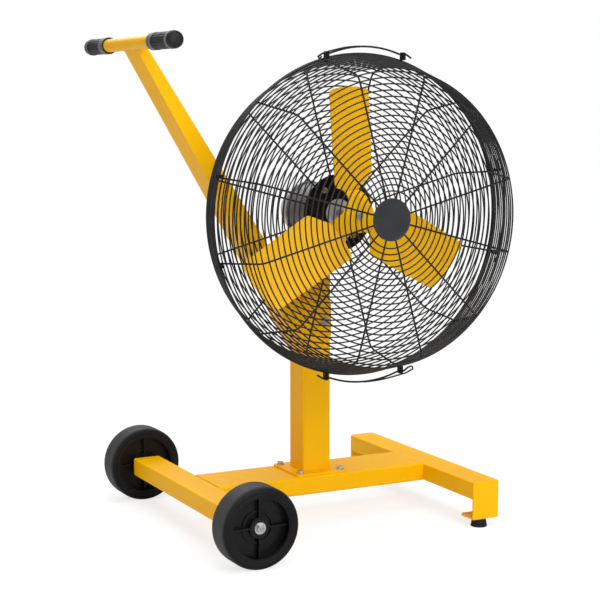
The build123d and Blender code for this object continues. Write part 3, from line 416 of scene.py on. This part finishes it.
BY_SLOT = {
    "yellow_paint": powder_coat(
        "yellow_powder_coat", linear(255, 191, 0), linear(252, 185, 0), 0.38, 0.0012),
    "blade_paint": powder_coat(
        "blade_powder_coat", linear(255, 193, 0), linear(252, 187, 0), 0.36),
    "guard_coat": powder_coat(
        "black_powder_coat", linear(24, 24, 25), linear(17, 17, 18), 0.42),
    "motor_paint": cast_metal(
        "motor_grey_paint", linear(88, 91, 98), linear(72, 75, 82), 0.44, 0.0, 380.0),
    "bell_silver": cast_metal(
        "cast_aluminium", linear(206, 212, 222), linear(186, 192, 202), 0.36, 0.15, 260.0),
    "zinc": plated("bright_zinc", linear(206, 208, 208), linear(188, 188, 182), 0.26),
    "steel": plated("turned_steel", linear(182, 182, 184), linear(160, 160, 162), 0.30),
    "tyre_rubber": moulded(
        "tyre_rubber", linear(17, 17, 18), linear(11, 11, 12), 0.55, 520.0, 0.35,
        dust=0.04, shine=0.16, tread=linear(62, 62, 64)),
    "wheel_plastic": moulded(
        "wheel_plastic", linear(11, 11, 12), linear(7, 7, 8), 0.34, 900.0, 0.18,
        bevel=0.0012, dust=0.02, shine=0.22),
    "foot_rubber": moulded(
        "foot_rubber", linear(22, 22, 23), linear(15, 15, 16), 0.66, 500.0, 0.4),
    "grip_rubber": GRIP,
    "grip_grey": moulded(
        "grip_grey_band", linear(112, 113, 115), linear(98, 99, 101), 0.50, 800.0, 0.25),
    "badge_grey": BADGE,
    "box_plastic": moulded(
        "box_plastic", linear(46, 46, 48), linear(38, 38, 40), 0.5, 600.0, 0.35),
    "laminations": cast_metal(
        "stator_stack", linear(120, 96, 74), linear(96, 78, 62), 0.5, 0.6, 500.0),
}


def dress(obj, material):
    if not obj.material_slots:
        obj.data.materials.append(None)
    for place in obj.material_slots:
        place.material = material


for part in frame["record"]["subparts"]:
    dress(nodes[part["node"]], BY_SLOT[part["material_slot"]])
for name in ("wheel_bearings_near", "wheel_bearings_far"):
    dress(nodes[name], SEAL)


# ------------------------------------------------------------------ guard

WALL_OUT = 1 / math.hypot(1, SLOPE)         # the side wall's outward normal
WALL_UP = SLOPE * WALL_OUT
LIFT = (RING + RIB) / 2 - WELD_BITE         # from a ring's centre to a rib's
TURN = math.acos(WALL_UP)
REACH = KNEE * math.tan(TURN / 2)


def dish(side):
    """Matrix of a dish: X to the right seen from the front, Y up, Z out of that dish."""
    return Matrix((
        (1.0, 0.0, 0.0, MAST_X),
        (0.0, 0.0, float(side), GUARD_Y),
        (0.0, 1.0, 0.0, FAN_Z),
        (0.0, 0.0, 0.0, 1.0),
    ))


def knee_radius(side):
    return RIM_R - SLOPE * (DEPTH[side] - RIM_OFF)


def face_rings(side):
    """Radius, height and outward normal of the rings on the flat face."""
    start = knee_radius(side) - REACH
    count = int((start - FACE_STOP[side]) / PITCH) + 1
    return [(start - k * PITCH, DEPTH[side], 0.0, 1.0) for k in range(count)]


def wall_rings(side):
    """The same for the rings up the side wall and the one on the knee."""
    top = DEPTH[side] - REACH * WALL_OUT
    count = int((top - RIM_OFF) / WALL_OUT / PITCH) + 1
    spots = []
    for k in range(1, count + 1):
        z = RIM_OFF + (top - RIM_OFF) * k / count
        spots.append((RIM_R - SLOPE * (z - RIM_OFF), z, WALL_OUT, WALL_UP))
    out, up = math.sin(TURN / 2), math.cos(TURN / 2)
    spots.append((knee_radius(side) - REACH + KNEE * out, DEPTH[side] - KNEE + KNEE * up, out, up))
    return spots


def rib_corners(side):
    """Inner end, knee and rim end of a rib, which lies inside the rings."""
    top = DEPTH[side] - LIFT
    inset = LIFT * WALL_OUT
    end_z = RIB / 2 * WALL_UP + RIM_CLEAR
    knee_x = knee_radius(side) - inset + SLOPE * LIFT * (1 - WALL_UP)
    end_x = RIM_R - inset + SLOPE * (RIM_OFF - LIFT * WALL_UP - end_z)
    return [(RIB_START[side], 0.0, top), (knee_x, 0.0, top), (end_x, 0.0, end_z)]


def make_rings(name, replaced, side, hoops, wire, sides=12):
    """Closed wires from (radius, height, points around)."""
    piece = Builder()
    for radius, z, around in hoops:
        piece.tube(placed(dish(side), circle(radius, z, around)), wire / 2, sides, closed=True)
    piece.build(name, WIRE, "head", "guard_coat", [replaced])


def make_ribs(label, side):
    """Bent ribs, and a weld where each one crosses a ring."""
    matrix = dish(side)
    basis = np.array(matrix)[:3, :3]
    line = rounded(rib_corners(side), [KNEE - LIFT], 14)
    ribs, welds = Builder(), Builder()
    for k in range(RIBS):
        turn = spin(FIRST_RIB + 360 / RIBS * k)
        ribs.tube(placed(matrix, line @ turn.T), RIB / 2)
        for radius, z, out, up in face_rings(side) + wall_rings(side):
            normal, along = np.array([out, 0, up]), np.array([up, 0, -out])
            foot = np.array([radius, 0, z]) - normal * RING / 2
            axes = [basis @ turn @ v for v in (along, np.array([0, 1.0, 0]), normal)]
            welds.blob(placed(matrix, [turn @ foot])[0], NUGGET, axes)
    ribs.build(label + "_rib_wires", WIRE, "head", "guard_coat", [label + "_ribs"])
    welds.build(label + "_weld_nuggets", WIRE, "head", "guard_coat")


for label, side in (("front", FRONT), ("rear", REAR)):
    face = [(radius, z, max(FEWEST, int(radius * FACE_POINTS)))
            for radius, z, _, _ in face_rings(side)]
    wall = [(radius, z, WALL_POINTS) for radius, z, _, _ in wall_rings(side)]
    rim = [(RIM_R, RIM_OFF, RIM_POINTS)]
    make_rings(label + "_face_wires", label + "_face_rings", side, face, RING)
    make_rings(label + "_side_wires", label + "_side_rings", side, wall, RING)
    make_rings(label + "_rim_wire", label + "_rim_ring", side, rim, RIM, 14)
    make_ribs(label, side)


# ------------------------------------------------------------------ latches

LINE = math.sqrt(LATCH_R ** 2 - HALF_SPAN ** 2)         # hinge wire from the fan's axis


def make_latch(degrees, node, body):
    """Bowed wire with its hook, smooth in the round."""
    inner, outer = HALF_SPAN - BLOCK_REACH, HALF_SPAN + BLOCK_REACH
    slope = BOW_APEX / inner
    drop = BOW_BEND * (math.hypot(1, slope) - 1)        # the bow's top below its apex
    top = LINE + BOW_APEX - drop
    bow = rounded([
        (-TAIL, LINE - TAIL_DROP, 0), (-outer, LINE, 0), (-inner, LINE, 0), (0, LINE + BOW_APEX, 0),
        (inner, LINE, 0), (outer, LINE, 0), (TAIL, LINE - TAIL_DROP, 0),
    ], [TAIL_BEND, BLOCK_BEND, BOW_BEND, BLOCK_BEND, TAIL_BEND], 14)
    # the hook runs beside the bow's left half and turns back in a loop past its tail
    beside = (BOW_WIRE + HOOK_WIRE) / 2
    hook = rounded([
        (0, top, beside), (-drop / slope, top, beside), (-outer, LINE + 0.002, HOOK_DEPTH),
        (-TAIL - 0.008, LINE - 0.008, HOOK_DEPTH),
        (-TAIL - 0.002, LINE - 0.015, HOOK_DEPTH - 0.003), (-outer - 0.008, LINE - 0.009, 0.007),
    ], [BOW_BEND - 0.006, 0.040, 0.004, 0.004], 12)
    turn = spin(degrees)
    plane = dish(FRONT) @ Matrix.Translation((0.0, 0.0, LATCH_FORWARD))
    wire = Builder()
    wire.tube(placed(plane, bow @ turn.T), BOW_WIRE / 2, 14)
    wire.tube(placed(plane, hook @ turn.T), HOOK_WIRE / 2)
    wire.build(node + "_wire", WIRE, body, "guard_coat", [node])


for index, name in enumerate(("top", "right", "bottom", "left")):
    make_latch(-90 * index, "latch_" + name, name + "_latch")


# ------------------------------------------------------------------ badge and grips

def make_badge():
    """Disc with a rolled edge and a faintly domed face."""
    seat = DEPTH[FRONT] - RING / 2
    profile = [
        (0.0, 0.0), (0.0522, 0.0), (0.0531, 0.0006), (0.0535, 0.0018), (0.0532, 0.0029),
        (0.0524, 0.0035), (0.0512, 0.0036), (0.0503, 0.0032), (0.0497, 0.0027), (0.0488, 0.0026),
        (0.036, 0.0030), (0.019, 0.0033), (0.0, 0.0034),
    ]
    disc = Builder()
    disc.lathe([(radius, z + seat) for radius, z in profile], dish(FRONT), 128)
    disc.build("badge_disc", BADGE, "head", "badge_grey", ["badge"], sharp=40)


def make_grips():
    """Rubber sleeves with shallow lengthwise flutes and a ringed end."""
    flutes, flute = 16, 0.0011
    around = 12 * flutes
    # distance from the mast's plane, radius, and depth of the flutes there
    stations = [
        (0.1575, 0.0206, 0), (0.1868, 0.0206, 0), (0.1885, 0.0211, 0), (0.1905, 0.0211, flute),
        (0.2695, 0.0211, flute), (0.2715, 0.0211, 0), (0.2735, 0.0206, 0), (0.2872, 0.0206, 0),
        (0.2885, 0.0210, 0), (0.2945, 0.0210, 0), (0.2975, 0.0203, 0), (0.2992, 0.0190, 0),
        (0.2997, 0.0176, 0), (0.2990, 0.0168, 0), (0.2990, 0.0160, 0), (0.3000, 0.0152, 0),
        (0.3005, 0.0136, 0), (0.3005, 0.0001, 0),
    ]
    a = np.linspace(0, 2 * np.pi, around, endpoint=False)
    groove = (0.5 - 0.5 * np.cos(flutes * a)) ** 3
    faces = bands(len(stations), around) + caps(len(stations), around)
    sleeve = Builder()
    for side in (-1, 1):
        rings = []
        for y, radius, depth in stations:
            r = radius - depth * groove
            x, z = HANDLE_X + r * np.cos(a), HANDLE_Z + r * np.sin(a)
            rings.append(np.stack([x, np.full(around, MAST_Y + side * y), z], 1))
        sleeve.add(np.concatenate(rings), faces)
    sleeve.build("grip_sleeves", GRIP, "cart", "grip_rubber", ["grips"], sharp=50)


make_badge()
make_grips()


# ------------------------------------------------------------------ floor, light, camera

def add_floor():
    """Pale floor that keeps the soft shadow near the object and runs out to plain white."""
    reach = 14.0
    fade_from, fade_to = 0.75, 1.9      # metres from the middle
    mesh = bpy.data.meshes.new("floor")
    corners = [(-reach, -reach, 0), (reach, -reach, 0), (reach, reach, 0), (-reach, reach, 0)]
    mesh.from_pydata(corners, [], [(0, 1, 2, 3)])
    floor = bpy.data.objects.new("floor", mesh)
    bpy.context.scene.collection.objects.link(floor)
    s = Shader("pale_floor", 0.9, specular=0.05)
    s.surface.inputs["Base Color"].default_value = (0.74, 0.74, 0.74, 1.0)
    shade = s.node("ShaderNodeBsdfDiffuse")
    shade.inputs["Color"].default_value = (0.32, 0.32, 0.32, 1.0)
    glow = s.node("ShaderNodeEmission")
    glow.inputs["Strength"].default_value = 0.74
    white = s.node("ShaderNodeEmission")
    white.inputs["Strength"].default_value = 1.02
    both = s.node("ShaderNodeAddShader")
    s.link(shade.outputs[0], both.inputs[0])
    s.link(glow.outputs[0], both.inputs[1])
    away = s.node("ShaderNodeVectorMath", operation="LENGTH")
    s.link(s.coords, away.inputs[0])
    fade = s.spread(away.outputs["Value"], 0.0, 1.0, fade_from, fade_to)
    near = s.node("ShaderNodeMixShader")
    s.link(fade, near.inputs[0])
    s.link(both.outputs[0], near.inputs[1])
    s.link(white.outputs[0], near.inputs[2])
    seen = s.node("ShaderNodeMixShader")
    s.link(s.node("ShaderNodeLightPath").outputs["Is Camera Ray"], seen.inputs[0])
    s.link(s.surface.outputs[0], seen.inputs[1])
    s.link(near.outputs[0], seen.inputs[2])
    s.link(seen.outputs[0], s.tree.nodes["Material Output"].inputs["Surface"])
    mesh.materials.append(s.material)


def add_world():
    """White to the camera, and a soft pale light to everything else."""
    world = bpy.data.worlds.new("studio")
    bpy.context.scene.world = world
    world.use_nodes = True
    tree = world.node_tree
    dim = tree.nodes["Background"]
    dim.inputs["Color"].default_value = (0.97, 0.98, 1.0, 1.0)
    dim.inputs["Strength"].default_value = 0.46
    white = tree.nodes.new("ShaderNodeBackground")
    white.inputs["Color"].default_value = (1.0, 1.0, 1.0, 1.0)
    white.inputs["Strength"].default_value = 1.0
    path = tree.nodes.new("ShaderNodeLightPath")
    most = tree.nodes.new("ShaderNodeMath")
    most.operation = "MAXIMUM"
    tree.links.new(path.outputs["Is Camera Ray"], most.inputs[0])
    tree.links.new(path.outputs["Is Transmission Ray"], most.inputs[1])
    pick = tree.nodes.new("ShaderNodeMixShader")
    tree.links.new(most.outputs[0], pick.inputs[0])
    tree.links.new(dim.outputs[0], pick.inputs[1])
    tree.links.new(white.outputs[0], pick.inputs[2])
    tree.links.new(pick.outputs[0], tree.nodes["World Output"].inputs["Surface"])


def area_light(name, place, target, size, power):
    data = bpy.data.lights.new(name, "AREA")
    data.shape = "DISK"
    data.size = size
    data.energy = power
    light = bpy.data.objects.new(name, data)
    bpy.context.scene.collection.objects.link(light)
    light.location = place
    aim = Vector(target) - Vector(place)
    light.rotation_euler = aim.to_track_quat("-Z", "Y").to_euler()


def add_camera():
    """Long lens to the front left, looking a little down."""
    sensor = 36.0
    focal, width = 1542.2, 600.0        # focal length and picture width in pixels
    down, right = 7.18, 27.06           # degrees
    data = bpy.data.cameras.new("camera")
    camera = bpy.data.objects.new("camera", data)
    bpy.context.scene.collection.objects.link(camera)
    data.sensor_width = sensor
    data.sensor_fit = "HORIZONTAL"
    data.lens = sensor * focal / width
    data.clip_start = 0.05
    data.clip_end = 60.0
    camera.location = (MAST_X - 1.9326, MAST_Y - 3.7232, 1.1291)
    camera.rotation_euler = (math.radians(90 - down), 0.0, math.radians(-right))
    bpy.context.scene.camera = camera


add_floor()
add_world()
area_light("key", (0.1, -4.8, 3.4), (0.0, 0.0, 0.6), 4.2, 178.0)
area_light("fill", (-4.2, -2.2, 2.6), (0.0, 0.0, 0.6), 3.0, 24.0)
area_light("back", (0.5, 4.2, 3.6), (0.0, 0.0, 0.7), 3.0, 60.0)
area_light("top", (0.0, -0.4, 4.6), (0.0, 0.0, 0.0), 3.0, 82.0)
add_camera()
bpy.context.scene.view_settings.view_transform = "Standard"
